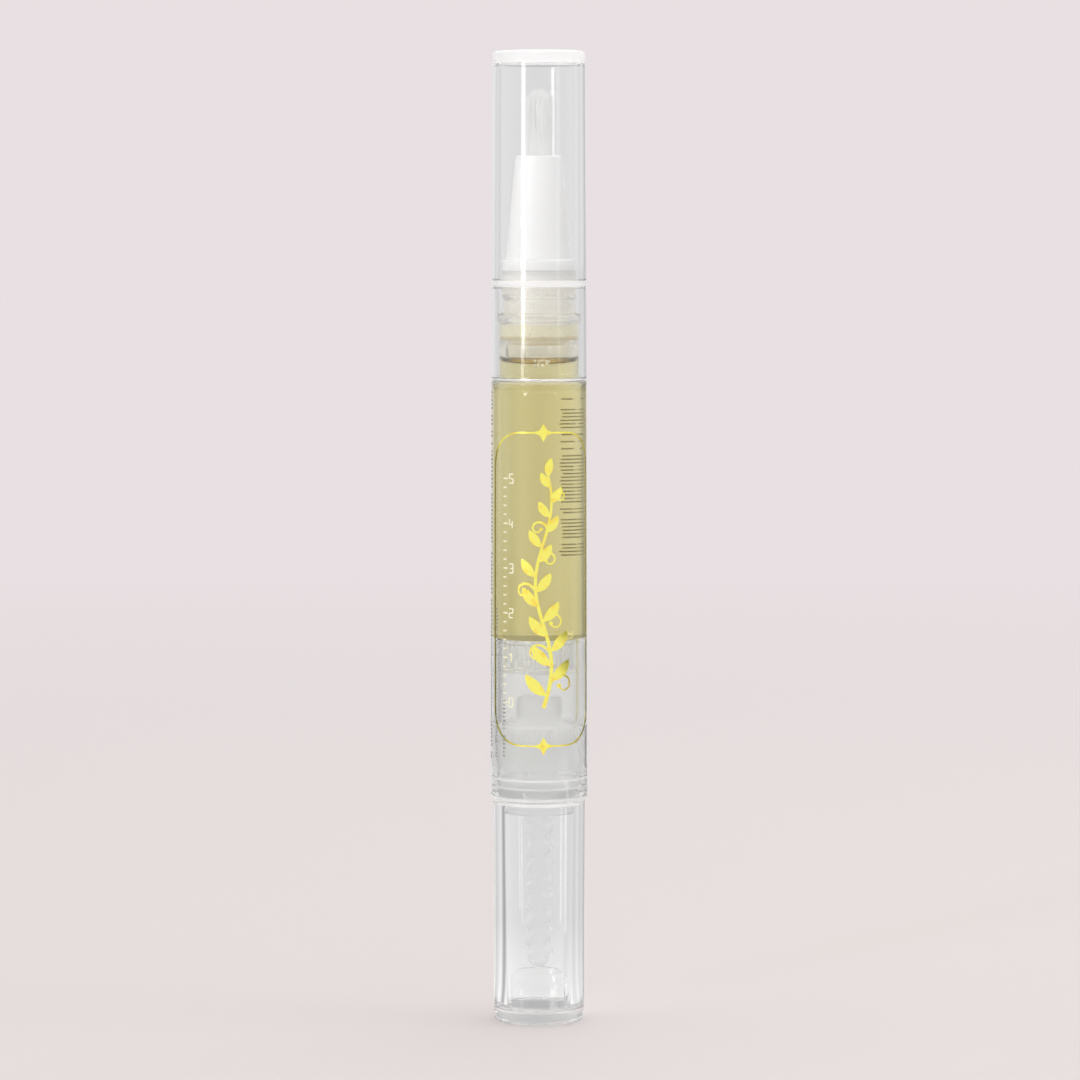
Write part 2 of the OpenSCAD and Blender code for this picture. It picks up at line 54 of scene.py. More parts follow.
mm = 0.001
fullTurn = 2 * math.pi
randomDraws = np.random.default_rng(7)


def allRound(steps):
    # even angles all round
    return np.linspace(0, fullTurn, steps, endpoint=False)


def pointsOf(*values):
    # arrays of coordinates side by side
    return np.stack(values, axis=-1)


def nodeSpan(node):
    # lowest z, highest z and outer radius of a CAD node, in mm
    low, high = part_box(node)
    return low.z / mm, high.z / mm, high.y / mm


# Camera: the photograph's own viewing angle, a long lens a little above the pen's middle
cameraSet = {"distance": 462, "height": 92.7, "aside": 0.11, "tiltDown": 4.751, "lens": 137.8, "sensor": 36}


def placeCamera(view):
    data = bpy.data.cameras.new("photoCamera")
    data.lens = view["lens"]
    data.sensor_width = view["sensor"]
    data.clip_start, data.clip_end = 0.02, 20
    camera = bpy.data.objects.new("photoCamera", data)
    camera.location = (view["aside"] * mm, -view["distance"] * mm, view["height"] * mm)
    camera.rotation_euler = (math.radians(90 - view["tiltDown"]), 0, 0)
    bpy.context.scene.collection.objects.link(camera)
    bpy.context.scene.camera = camera


placeCamera(cameraSet)
print("camera placed")


def softCorners(points, cut, steps=10, most=0.49):
    # each corner P is swapped for the curve (1-t)^2 A + 2t(1-t) P + t^2 B, where A and B lie
    # a cut before and after it on its two sides; a cut of 0 keeps the corner
    p = np.array(points, float)
    cut = np.broadcast_to(np.asarray(cut, float), len(p))[:, None]
    sides = [np.roll(p, 1, axis=0) - p, np.roll(p, -1, axis=0) - p]
    lengths = [np.linalg.norm(side, axis=1, keepdims=True) for side in sides]
    a, b = [p + side / length * np.minimum(cut, length * most) for side, length in zip(sides, lengths)]
    t = np.linspace(0, 1, steps)[None, :, None]
    curve = (1 - t) ** 2 * a[:, None] + 2 * t * (1 - t) * p[:, None] + t**2 * b[:, None]
    flat = np.where(cut[:, :, None] > 0, curve, p[:, None]).reshape(-1, 2)
    step = np.linalg.norm(flat - np.roll(flat, 1, axis=0), axis=1)
    return heldEnds(flat[step > 1e-6])


def heldEnds(profile, gap=0.04, longest=0.4):
    # a long side gets two more points, a gap from its ends, so that smooth shading turns only there
    side = np.roll(profile, -1, axis=0) - profile
    length = np.linalg.norm(side, axis=1, keepdims=True)
    unit = side / length
    points = np.stack([profile, profile + unit * gap, profile + side - unit * gap], axis=1)
    return points[np.hstack([length > 0, length > longest, length > longest])]


def addPiece(name, mesh):
    piece = bpy.data.objects.new(name, mesh)
    bpy.context.scene.collection.objects.link(piece)
    return piece


def mendMesh(mesh, sharpAngle, near):
    # doubles are merged, the surface is turned outwards and shades smoothly up to the sharp angle
    work = bmesh.new()
    work.from_mesh(mesh)
    bmesh.ops.remove_doubles(work, verts=work.verts, dist=near)
    bmesh.ops.recalc_face_normals(work, faces=work.faces)
    if work.calc_volume(signed=True) < 0:
        bmesh.ops.reverse_faces(work, faces=work.faces)
    work.to_mesh(mesh)
    work.free()
    mesh.shade_smooth()
    mesh.set_sharp_from_angle(angle=math.radians(sharpAngle))


def meshPiece(name, points, faces, sharpAngle=32, near=1e-7):
    # one object from points in mm and faces; without a sharp angle it is shaded smooth as it is
    mesh = bpy.data.meshes.new(name)
    mesh.from_pydata(np.reshape(points, (-1, 3)) * mm, [], faces)
    if sharpAngle:
        mendMesh(mesh, sharpAngle, near)
    else:
        mesh.shade_smooth()
    return addPiece(name, mesh)


def gridFaces(rows, columns, closeRows=True):
    # quads of a grid whose columns, and rows if asked, are joined back to the first
    i = np.arange(rows if closeRows else rows - 1)[:, None]
    j = np.arange(columns)[None, :]
    i2, j2 = (i + 1) % rows, (j + 1) % columns
    corners = [i * columns + j, i * columns + j2, i2 * columns + j2, i2 * columns + j]
    return np.stack(np.broadcast_arrays(*corners), axis=-1).reshape(-1, 4)


def tubeFaces(count, rows, columns, start=0):
    # walls and both end faces of tubes whose points follow one another, the first at the start
    starts = (start + np.arange(count) * rows * columns)[:, None]
    walls = gridFaces(rows, columns, closeRows=False)[None] + starts[:, None]
    feet = np.arange(columns)[::-1] + starts
    tips = np.arange(columns) + (rows - 1) * columns + starts
    return walls.reshape(-1, 4).tolist() + feet.tolist() + tips.tolist()


def skin(name, radii, heights, sharpAngle=32):
    # closed rows, with a radius at every angle and a height: x = r cos a, y = r sin a
    a = allRound(radii.shape[1])
    points = pointsOf(radii * np.cos(a), radii * np.sin(a), heights + 0 * a)
    return meshPiece(name, points, gridFaces(*radii.shape).tolist(), sharpAngle)


def spun(name, profile, steps=224, sharpAngle=32):
    # a closed half section (r, z) turned about the axis
    p = np.asarray(profile, float)
    return skin(name, p[:, :1] + np.zeros(steps), p[:, 1:], sharpAngle)


def cadCopy(name, node):
    # the CAD node's own triangles, merged, so that its round faces shade smoothly
    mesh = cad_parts[node].data.copy()
    piece = addPiece(name, mesh)
    mesh.materials.clear()
    mendMesh(mesh, 32, near=2e-6)
    return piece


def dress(piece, material, body, slot, *nodes):
    # material, body, a finish slot that is not used, and the nodes that the piece stands for
    piece.data.materials.clear()
    piece.data.materials.append(material)
    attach(piece, body)
    if nodes:
        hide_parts(*nodes)
    return piece


# Materials: a new one's parts, and the nodes that several share
def material(name):
    made = bpy.data.materials.new(name)
    made.use_nodes = True
    tree = made.node_tree
    return made, tree, tree.nodes["Principled BSDF"], tree.nodes["Material Output"]


def setSockets(node, sockets):
    # another node's output is linked to the socket, and any other value is set on it
    for name, value in sockets.items():
        socket = node.inputs[name]
        if isinstance(value, bpy.types.NodeSocket):
            node.id_data.links.new(value, socket)
        else:
            socket.default_value = (*value, 1) if socket.type == "RGBA" else value


def newNode(tree, kind, sockets, output=0, **settings):
    # a new node, of which one output comes back
    node = tree.nodes.new("ShaderNode" + kind)
    for name, value in settings.items():
        setattr(node, name, value)
    setSockets(node, sockets)
    return node.outputs[output]


def heightOf(tree, place):
    return newNode(tree, "SeparateXYZ", {"Vector": place}, "Z")


def noiseOn(tree, scale, detail=3, upright=1):
    # noise on Object coordinates; scale is in cells per mm, and upright is its share along the pen
    place = newNode(tree, "TexCoord", {}, "Object")
    mapped = newNode(tree, "Mapping", {"Vector": place, "Scale": [s * scale / mm for s in (1, 1, upright)]})
    return newNode(tree, "TexNoise", {"Vector": mapped, "Scale": 1, "Detail": detail}, "Fac")


def remap(tree, value, low, high, fromLow=0.3, fromHigh=0.7):
    sockets = {"Value": value, "From Min": fromLow, "From Max": fromHigh, "To Min": low, "To Max": high}
    return newNode(tree, "MapRange", sockets, "Result")


def worked(tree, operation, first, second=0.5):
    # sum, product or other result of two sockets or numbers
    return newNode(tree, "Math", {0: first, 1: second}, operation=operation)


def bandMask(tree, band):
    # 1 between two heights (mm), running out to 0 over the soft distance at either end
    low, high, soft = band
    height = heightOf(tree, newNode(tree, "TexCoord", {}, "Object"))
    rise = remap(tree, height, 0, 1, (low - soft) * mm, low * mm)
    fall = remap(tree, height, 1, 0, high * mm, (high + soft) * mm)
    return worked(tree, "MULTIPLY", rise, fall)


def bumpFrom(tree, height, depth):
    return newNode(tree, "Bump", {"Height": height, "Strength": 1, "Distance": depth * mm})


def mixColours(tree, share, first, second):
    # 0 is all of the first colour and 1 all of the second
    return newNode(tree, "Mix", {"Factor": share, "A": first, "B": second}, "Result", data_type="RGBA")


def mixShaders(tree, share, first, second):
    return newNode(tree, "MixShader", {"Fac": share, 1: first, 2: second})


def shoneThrough(tree, surface, shade):
    # lamps shine on through the surface, dimmed by the shade colour
    shadow = newNode(tree, "LightPath", {}, "Is Shadow Ray")
    return mixShaders(tree, shadow, surface, newNode(tree, "BsdfTransparent", {"Color": shade}))


def clearPlastic(name, look):
    # polished moulding: it bends light, its gloss is a little smeared and its face a little wavy
    made, tree, shader, out = material(name)
    tint = look["tint"]
    clear = look.get("clear", 1)
    rough = remap(tree, noiseOn(tree, look["smearScale"], 4), *look["rough"])
    for heights, frostRough, frostClear in look.get("frostedBands", []):
        # a frosted band is rougher and lets less light straight through
        frost = bandMask(tree, heights)
        rough = worked(tree, "ADD", rough, remap(tree, frost, 0, frostRough, 0, 1))
        clear = worked(tree, "MULTIPLY", clear, remap(tree, frost, 1, frostClear, 0, 1))
    if "film" in look:
        # a film of oil clings to the wall
        heights, colour = look["film"]
        tint = mixColours(tree, bandMask(tree, heights), tint, colour)
    wave = noiseOn(tree, look["waveScale"], 2, look.get("waveUpright", 1))
    setSockets(shader, {"Base Color": tint, "Transmission Weight": clear, "IOR": look["ior"],
                        "Roughness": rough, "Normal": bumpFrom(tree, wave, look["waveDepth"])})
    setSockets(out, {"Surface": shoneThrough(tree, shader.outputs["BSDF"], look["shade"])})
    return made


# frosted bands: ((low, high, soft), rough, clear), with heights in mm
capLook = {"tint": (0.993, 0.993, 0.993), "ior": 1.49, "rough": (0.008, 0.03), "smearScale": 0.12,
           "waveScale": 0.25, "waveDepth": 0.005, "waveUpright": 0.3, "shade": (0.99, 0.99, 0.99),
           "frostedBands": [((107.65, 109.5, 0.35), 0.5, 0.5), ((82.75, 83.35, 0.1), 0.3, 0.42),
                            ((72.0, 72.45, 0.06), 0.3, 0.6)]}
barrelLook = {"tint": (0.95, 0.95, 0.942), "ior": 1.49, "rough": (0.02, 0.07), "smearScale": 0.3,
              "waveScale": 0.8, "waveDepth": 0.003, "waveUpright": 0.25, "shade": (0.99, 0.99, 0.98),
              "film": ((74.8, 76.3, 0.4), (0.92, 0.89, 0.78)),
              "frostedBands": [((76.5, 84.5, 0.8), 0.18, 0.85), ((83.3, 84.6, 0.3), 0.2, 0.5),
                               ((72.0, 72.3, 0.06), 0.3, 0.8), ((33.6, 33.9, 0.06), 0.25, 0.92),
                               ((29.0, 42.6, 0.8), 0.12, 0.93), ((27.6, 27.8, 0.05), 0.3, 0.6),
                               ((26.65, 26.85, 0.05), 0.3, 0.8), ((25.0, 25.6, 0.12), 0.3, 0.6)]}
knobLook = {"tint": (0.99, 0.99, 0.99), "ior": 1.49, "rough": (0.01, 0.03), "smearScale": 0.15,
            "waveScale": 0.3, "waveDepth": 0.006, "waveUpright": 0.25, "shade": (0.99, 0.99, 0.99),
            "frostedBands": [((24.75, 25.3, 0.1), 0.3, 0.5), ((1.5, 1.9, 0.1), 0.2, 0.9)]}
footLook = {"tint": (0.985, 0.985, 0.985), "ior": 1.49, "rough": (0.08, 0.14), "smearScale": 0.4,
            "clear": 0.95, "waveScale": 0.5, "waveDepth": 0.003, "shade": (0.99, 0.99, 0.99)}
tenonLook = {**footLook, "tint": (0.98, 0.98, 0.98), "ior": 1.08, "rough": (0.1, 0.16), "clear": 1}
pistonLook = {"tint": (0.92, 0.93, 0.94), "ior": 1.42, "rough": (0.12, 0.22), "smearScale": 0.5,
              "clear": 0.8, "waveScale": 1.2, "waveDepth": 0.003, "shade": (0.9, 0.9, 0.9)}
innerLook = {**pistonLook, "tint": (0.88, 0.882, 0.885), "ior": 1.08, "rough": (0.4, 0.5), "clear": 0.93,
             "shade": (0.97, 0.97, 0.97)}
rodLook = {**pistonLook, "tint": (0.862, 0.864, 0.867), "ior": 1.05, "rough": (0.45, 0.55), "clear": 0.9}

oilLook = {"ior": 1.47, "rough": 0.0, "soak": (0.915, 0.81, 0.08), "density": 150, "shade": (0.99, 0.98, 0.9)}


def oilMaterial(look):
    # clear oil: light bends at its surface and is soaked up on its way through
    made, tree, shader, out = material("goldenOil")
    setSockets(shader, {"Base Color": (1, 1, 1), "Transmission Weight": 1, "IOR": look["ior"],
                        "Roughness": look["rough"]})
    body = newNode(tree, "VolumeAbsorption", {"Color": look["soak"], "Density": look["density"]})
    setSockets(out, {"Surface": shoneThrough(tree, shader.outputs["BSDF"], look["shade"]), "Volume": body})
    return made


def satinPlastic(name, look):
    # opaque or milky moulding: mottled colour, satin gloss and fine grain
    made, tree, shader, out = material(name)
    mottle = remap(tree, noiseOn(tree, look["mottleScale"], 4), 0, 1)
    colour = mixColours(tree, mottle, look["colour"], look["colour2"])
    for heights, wet in look.get("wetBands", []):
        # oil soaked into the foot of the part
        colour = mixColours(tree, bandMask(tree, heights), colour, wet)
    grain = noiseOn(tree, look["grainScale"], 3)
    setSockets(shader, {"Base Color": colour, "Roughness": remap(tree, grain, *look["rough"]), "IOR": 1.5,
                        "Normal": bumpFrom(tree, grain, look["grainDepth"]),
                        "Transmission Weight": look.get("clear", 0), "Subsurface Weight": look.get("milk", 0),
                        "Subsurface Radius": (1.0, 0.9, 0.8),
                        "Subsurface Scale": look.get("milkDepth", 0.5) * mm})
    surface = shader.outputs["BSDF"]
    if "through" in look:
        # light that comes through the milky wall from behind
        glow = newNode(tree, "BsdfTranslucent", {"Color": colour})
        surface = mixShaders(tree, look["through"], surface, glow)
    if "shade" in look:
        surface = shoneThrough(tree, surface, look["shade"])
    setSockets(out, {"Surface": surface})
    return made


holderLook = {"colour": (0.96, 0.955, 0.945), "colour2": (0.975, 0.97, 0.96), "mottleScale": 0.2,
              "grainScale": 6, "grainDepth": 0.002, "rough": (0.28, 0.42), "milk": 0.2, "milkDepth": 0.8,
              "shade": (0.3, 0.3, 0.3)}
plugLook = {"colour": (0.99, 0.965, 0.91), "colour2": (0.995, 0.975, 0.93), "mottleScale": 0.5,
            "grainScale": 4, "grainDepth": 0.003, "rough": (0.25, 0.4), "milk": 0.3, "milkDepth": 1.5,
            "through": 0.2, "clear": 0.35, "shade": (0.88, 0.87, 0.83),
            "wetBands": [((75, 78.2, 0.8), (0.97, 0.93, 0.68)), ((75, 77.0, 0.25), (0.68, 0.57, 0.28))]}
tubeLook = {"colour": (0.93, 0.91, 0.87), "colour2": (0.95, 0.93, 0.89), "mottleScale": 0.5,
            "grainScale": 5, "grainDepth": 0.002, "rough": (0.3, 0.45), "milk": 0.3, "milkDepth": 0.8,
            "through": 0.2}
foamLook = {"colour": (0.99, 0.97, 0.90), "colour2": (0.99, 0.98, 0.94), "mottleScale": 3,
            "grainScale": 8, "grainDepth": 0.001, "rough": (0.1, 0.2), "through": 0.5, "clear": 0.3,
            "shade": (0.9, 0.9, 0.85)}
nylonLook = {"colour": (0.955, 0.955, 0.952), "colour2": (0.972, 0.972, 0.968), "mottleScale": 1.5,
             "grainScale": 8, "grainDepth": 0.001, "rough": (0.25, 0.4), "through": 0.45,
             "shade": (0.8, 0.8, 0.8)}


def foilMaterial(name, look, speckled=(0.5, 0.68)):
    # hot-stamped foil or ink: two colours in a fine speckle, with small wrinkles
    made, tree, shader, _ = material(name)
    speckle = noiseOn(tree, look["speckleScale"], 4)
    share = remap(tree, speckle, 0, 1, *speckled)
    setSockets(shader, {"Base Color": mixColours(tree, share, look["colour"], look["colour2"]),
                        "Metallic": look["metal"], "Roughness": remap(tree, speckle, *look["rough"]),
                        "Normal": bumpFrom(tree, speckle, look["wrinkle"])})
    return made


goldLook = {"colour": (0.99, 0.91, 0.18), "colour2": (0.99, 0.74, 0.12), "metal": 0.97,
            "rough": (0.16, 0.3), "speckleScale": 1.1, "wrinkle": 0.002}
creamLook = {"colour": (0.97, 0.94, 0.70), "colour2": (0.93, 0.89, 0.60), "metal": 0.1,
             "rough": (0.35, 0.55), "speckleScale": 3, "wrinkle": 0.002}
inkLook = {"colour": (0.25, 0.25, 0.25), "colour2": (0.36, 0.36, 0.35), "metal": 0,
           "rough": (0.4, 0.6), "speckleScale": 4, "wrinkle": 0.001}

capPlastic = clearPlastic("capClear", capLook)
barrelPlastic = clearPlastic("barrelClear", barrelLook)
knobPlastic = clearPlastic("knobClear", knobLook)
footPlastic = clearPlastic("footClear", footLook)
tenonPlastic = clearPlastic("tenonClear", tenonLook)
pistonPlastic = clearPlastic("pistonClear", pistonLook)
innerPlastic = clearPlastic("workingPartsMilky", innerLook)
rodPlastic = clearPlastic("rodMilky", rodLook)
oilLiquid = oilMaterial(oilLook)
holderPlastic = satinPlastic("holderWhite", holderLook)
plugPlastic = satinPlastic("plugNatural", plugLook)
tubePlastic = satinPlastic("tubeNatural", tubeLook)
nylon = satinPlastic("bristleNylon", nylonLook)
foamSkin = satinPlastic("oilFoam", foamLook)
goldFoil = foilMaterial("goldFoil", goldLook)
creamFoil = foilMaterial("creamInk", creamLook)
greyInk = foilMaterial("greyInk", inkLook)
print("materials made")


# Cap: drawn out to its closed end outside, stepped inside where it goes over the neck; here and below,
# cuts say how far each corner of a half section is rounded, in the corners' order
capSizes = {"topRadius": 5.115, "mouthRadius": 5.33, "boreRadius": 4.51, "boreTopRadius": 4.45,
            "mouthBoreRadius": 4.78, "mouthBoreDepth": 11.1, "stepHeight": 0.75, "roof": 1.12,
            "cuts": (0, 0.4, 0.12, 0.05, 0.05, 0.25, 0.25, 0.56, 0)}


def makeCap(size):
    low, high, _ = nodeSpan("cap")
    step = low + size["mouthBoreDepth"]
    roof = high - size["roof"]
    lip = size["mouthBoreRadius"] - size["boreRadius"]
    corners = [(0, high), (size["topRadius"], high), (size["mouthRadius"], low),
               (size["mouthBoreRadius"] + lip, low), (size["mouthBoreRadius"], low + lip),
               (size["mouthBoreRadius"], step - size["stepHeight"]), (size["boreRadius"], step),
               (size["boreTopRadius"], roof), (0, roof)]
    return spun("cap", softCorners(corners, size["cuts"], 12))


dress(makeCap(capSizes), capPlastic, "cap", "clear_cap", "cap")


# Barrel: shoulder, stepped neck with its snap bead and collar, one bore for the piston and a wider tail
barrelSizes = {"footRadius": 5.46, "topRadius": 5.31, "shoulder": 72.2, "bore": 4.2, "tailBore": 4.55,
               "tailDepth": 8.5, "leadIn": 0.95, "leadReach": 0.25, "throat": 1.1, "neckBore": 3.45,
               "neckRoot": 4.44, "beadUp": 6.65, "bead": 4.68, "beadHeight": 0.9, "neckTip": 4.0,
               "collar": 4.15, "collarHeight": 3.1, "grooveUp": 1.5, "grooveHeight": 0.95,
               "grooveRadius": 4.81,
               "cuts": (0.25, 0.25, 0.3, 0.1, 0.12, 0.12, 0.2, 0.06, 0.06, 0.15, 0.1, 0.35, 0.35, 0.08,
                        0.08, 0.04, 0.04, 0.04, 0.04, 0.2, 0.08)}


def makeBarrel(size):
    low, high, _ = nodeSpan("barrel")
    shoulder, bore, tailBore = size["shoulder"], size["bore"], size["tailBore"]
    tail = low + size["tailDepth"]
    bead = shoulder + size["beadUp"]
    beadTop = bead + size["beadHeight"]
    slope = size["bead"] - size["neckRoot"]
    chamfer = size["collar"] - size["neckTip"]
    collar = high - size["collarHeight"]
    groove = low + size["grooveUp"]
    grooveTop = groove + size["grooveHeight"]
    corners = [(size["footRadius"], low), (size["topRadius"], shoulder), (size["neckRoot"], shoulder),
               (size["neckRoot"], bead - slope), (size["bead"], bead), (size["bead"], beadTop - slope),
               (size["neckTip"], beadTop), (size["neckTip"], collar), (size["collar"], collar + chamfer),
               (size["collar"], high), (size["neckBore"], high), (size["neckBore"], shoulder),
               (bore, shoulder - size["throat"]), (bore, tail), (tailBore, tail), (tailBore, grooveTop),
               (size["grooveRadius"], grooveTop), (size["grooveRadius"], groove), (tailBore, groove),
               (tailBore, low + size["leadIn"]), (tailBore + size["leadReach"], low)]
    return spun("barrel", softCorners(corners, size["cuts"]))


dress(makeBarrel(barrelSizes), barrelPlastic, "barrel", "clear_barrel", "barrel")


# Knob: thick clear tube, its bore drawn in towards the foot
knobSizes = {"topRadius": 5.185, "footRadius": 5.065, "boreTop": 3.95, "boreFoot": 3.65,
             "cuts": (0.3, 0.08, 0.08, 0.2)}


def makeKnob(size):
    low, high, _ = nodeSpan("knob")
    corners = [(size["topRadius"], high), (size["footRadius"], low), (size["boreFoot"], low),
               (size["boreTop"], high)]
    return spun("knob", softCorners(corners, size["cuts"], 12))


dress(makeKnob(knobSizes), knobPlastic, "knob", "clear_knob", "knob")


# Foot plug: round disc with a sink mark below and a six-sided tenon with a cone-cut top
footSizes = {"radius": 5.065, "disc": 1.65, "edge": 0.3, "topEdge": 0.08, "tenonRadius": 3.63,
             "tenonHeight": 3.85, "tenonCut": 0.7, "sides": 6, "turn": 46, "cornerRound": 0.3,
             "dishRadius": 3.65, "dishFloorShare": 0.97, "dishDepth": 0.25, "seam": 0.02, "hold": 0.04}


def makeFootDisc(size):
    # half section of the disc: its lower edge is a quarter circle round (radius - edge, edge)
    radius, edge, disc, topEdge = size["radius"], size["edge"], size["disc"], size["topEdge"]
    t = np.linspace(0, math.pi / 2, 10)
    lowerEdge = pointsOf(radius - edge * (1 - np.sin(t)), edge * (1 - np.cos(t)))
    sink = [(0, size["dishDepth"]), (size["dishRadius"] * size["dishFloorShare"], size["dishDepth"]),
            (size["dishRadius"], 0)]
    upper = [(radius, edge + size["hold"]), (radius, disc - topEdge), (radius - topEdge, disc), (0, disc)]
    return spun("footDisc", np.concatenate([sink, lowerEdge, upper]), steps=288, sharpAngle=24)


def makeTenon(size, steps=288):
    # a row's radius is the flat's distance over cos(angle from the flat's middle), kept inside the
    # turned corner round and, at the top, inside the cone; a seam parts it from the disc
    a = allRound(steps)
    side = fullTurn / size["sides"]
    off = (a - math.radians(size["turn"])) % side - side / 2
    flat = size["tenonRadius"] * math.cos(side / 2)
    hexagon = np.minimum(flat / np.cos(off), size["tenonRadius"] - size["cornerRound"])
    foot, top = size["disc"] + size["seam"], size["disc"] + size["tenonHeight"]
    share = np.linspace(0, 1, 12)[:, None]
    cone = size["tenonRadius"] - size["cornerRound"] - share * size["tenonCut"]
    middle = 0 * hexagon
    radii = np.concatenate([[middle, hexagon, hexagon, hexagon], np.minimum(hexagon, cone), [middle]])
    straight = [[foot], [foot], [foot + size["hold"]], [top - size["tenonCut"] - size["hold"]]]
    heights = np.concatenate([straight, top - size["tenonCut"] * (1 - share), [[top]]])
    return skin("footTenon", radii, heights, sharpAngle=24)


dress(makeFootDisc(footSizes), footPlastic, "knob", "clear_foot", "foot_plug")
dress(makeTenon(footSizes), tenonPlastic, "knob", "clear_foot")
print("casings made")


# Oil: from the piston's crown up into the neck, where its surface is dished; a little air is above it
oilSizes = {"wallOverlap": 0.04, "rimUp": 2.8, "dish": 1.25, "dishPower": 2.1, "dishRings": 34,
            "throatRound": 0.35}


def makeOil(size, barrel):
    # the dish has the radius R (1 - s^p)^(1 / p) at a share s of its depth
    low = nodeSpan("oil_fill")[0]
    column = barrel["bore"] + size["wallOverlap"]
    neck = barrel["neckBore"] + size["wallOverlap"]
    shoulder, power = barrel["shoulder"], size["dishPower"]
    corners = [(0, low), (column, low), (column, shoulder - barrel["throat"]), (neck, shoulder)]
    share = np.sin(np.linspace(0, math.pi / 2, size["dishRings"]))
    bowl = pointsOf(neck * (1 - share**power) ** (1 / power), shoulder + size["rimUp"] - share * size["dish"])
    cuts = np.zeros(len(corners) + len(bowl))
    cuts[2:4] = size["throatRound"]
    return spun("oilColumn", softCorners(np.concatenate([corners, bowl]), cuts), sharpAngle=25)


oilPiece = makeOil(oilSizes, barrelSizes)
oilPiece.data.materials.append(oilLiquid)
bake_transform(oilPiece)
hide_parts("oil_fill")

# Foam: a cluster of tiny bubbles against the neck's front wall, where the oil's surface is lowest
foamSizes = {"bubbles": 34, "least": 0.05, "most": 0.13, "turn": 5, "spread": 13, "low": 73.95, "high": 74.6,
             "out": 3.3, "steps": 12, "poleGap": 0.02}


def makeFoam(size):
    # sphere i has its middle at a radius, a turn and a height that are drawn at random, and the
    # grid is x = r sin v cos u, y = r sin v sin u, z = r cos v round each middle
    n, steps, pole = size["bubbles"], size["steps"], size["poleGap"]
    turn = np.radians(size["turn"] + size["spread"] * randomDraws.uniform(-1, 1, n))
    radius = randomDraws.uniform(size["least"], size["most"], n)
    height = size["low"] + (size["high"] - size["low"]) * randomDraws.random(n) ** 2
    middle = pointsOf(size["out"] * np.sin(turn), -size["out"] * np.cos(turn), height)
    v = np.linspace(pole, math.pi - pole, steps)[:, None]
    u = allRound(steps)[None, :]
    ball = pointsOf(np.sin(v) * np.cos(u), np.sin(v) * np.sin(u), np.cos(v) + 0 * u).reshape(-1, 3)
    points = middle[:, None] + radius[:, None, None] * ball[None]
    return meshPiece("oilFoam", points, tubeFaces(n, steps, steps), 60)


dress(makeFoam(foamSizes), foamSkin, "barrel", "oil")


# Piston: two sealing lips with fine upright ribs between them
pistonSizes = {"lip": 4.15, "lipHeight": 0.4, "waist": 3.6, "ribs": 48, "ribHeight": 0.3, "ribShare": 0.42,
               "ribSteep": 9, "edge": 0.1, "lipEnd": 1.5, "ribStart": 1.7}


def makePiston(size, steps=960):
    # a rib is a smooth pulse round the waist: it rises with 1 / (1 + exp(-k (cos(n a) - c)));
    # the rows of the lower half are mirrored for the upper one
    low, high, _ = nodeSpan("piston")
    a = allRound(steps)
    limit = math.cos(math.pi * size["ribShare"])
    pulse = 1 / (1 + np.exp(-size["ribSteep"] * (np.cos(size["ribs"] * a) - limit)))
    ribbed = size["waist"] + size["ribHeight"] * pulse
    lip, tall, edge = size["lip"], size["lipHeight"], size["edge"]
    radii = [0, lip - 2 * edge, lip - edge / 2, lip, lip, ribbed, ribbed]
    up = np.array([0, 0, edge / 2, 2 * edge, tall, tall * size["lipEnd"], tall * size["ribStart"]])
    heights = np.concatenate([low + up, high - up[::-1]])[:, None]
    return skin("piston", np.array([r + 0 * a for r in radii + radii[::-1]]), heights)


dress(makePiston(pistonSizes), pistonPlastic, "piston", "clear_piston", "piston")


# Screw rod: right-hand thread with two flats, a rounded tail and a head that sits in the piston
rodSizes = {"crest": 1.55, "root": 1.2, "halfFlat": 1.15, "pitch": 2, "rootShare": 0.3, "crestShare": 0.22,
            "tailRound": 1, "stem": 0.95, "stemHeight": 1.5, "head": 1.6, "headHeight": 0.9, "fadeTurns": 0.4}


def makeRod(size, steps=72, rowsPerTurn=40):
    # radius at height z and angle a is a trapezium wave of (z / pitch - a / turn), cut off by the
    # flats, faded to the root at both ends and rounded at the tail
    low, high, _ = nodeSpan("screw_rod")
    head = high - size["headHeight"]
    threadTop = head - size["stemHeight"]
    pitch = size["pitch"]
    z = np.linspace(low, threadTop, int((threadTop - low) / pitch * rowsPerTurn))[:, None]
    a = allRound(steps)[None, :]
    wave = np.abs(((z - low) / pitch - a / fullTurn) % 1 - 0.5) * 2
    flank = (wave - size["rootShare"]) / (1 - size["rootShare"] - size["crestShare"])
    fromEnd = np.minimum(z - low - size["tailRound"], threadTop - z)
    fade = np.clip(fromEnd / pitch / size["fadeTurns"], 0, 1)
    radius = size["root"] + (size["crest"] - size["root"]) * np.clip(flank, 0, 1) * fade
    tail = np.clip((z - low) / size["tailRound"], 0, 1)
    radius = radius * np.sqrt(1 - (1 - tail) ** 2)
    radius = np.minimum(radius, size["halfFlat"] / np.maximum(np.abs(np.sin(a)), 1e-3))
    upper = np.array([[size["stem"], size["stem"], size["head"], size["head"], size["head"] / 2, 0]]).T
    upperHeights = np.array([[threadTop, head, head, head + size["headHeight"] / 3, high, high]]).T
    rows, heights = np.concatenate([radius, upper + 0 * a]), np.concatenate([z, upperHeights])
    return skin("screwRod", rows, heights, sharpAngle=50)


dress(makeRod(rodSizes), rodPlastic, "screw_rod", "clear_rod", "screw_rod")

workingParts = [("guideNut", "guide_nut", "barrel", "clear_nut"),
                ("ratchetRing", "ratchet_ring", "barrel", "clear_ratchet"),
                ("driveSleeve", "drive_sleeve", "knob", "clear_sleeve")]
for pieceName, cadNode, carrier, finish in workingParts:
    dress(cadCopy(pieceName, cadNode), innerPlastic, carrier, finish, cadNode)
print("mechanism made")


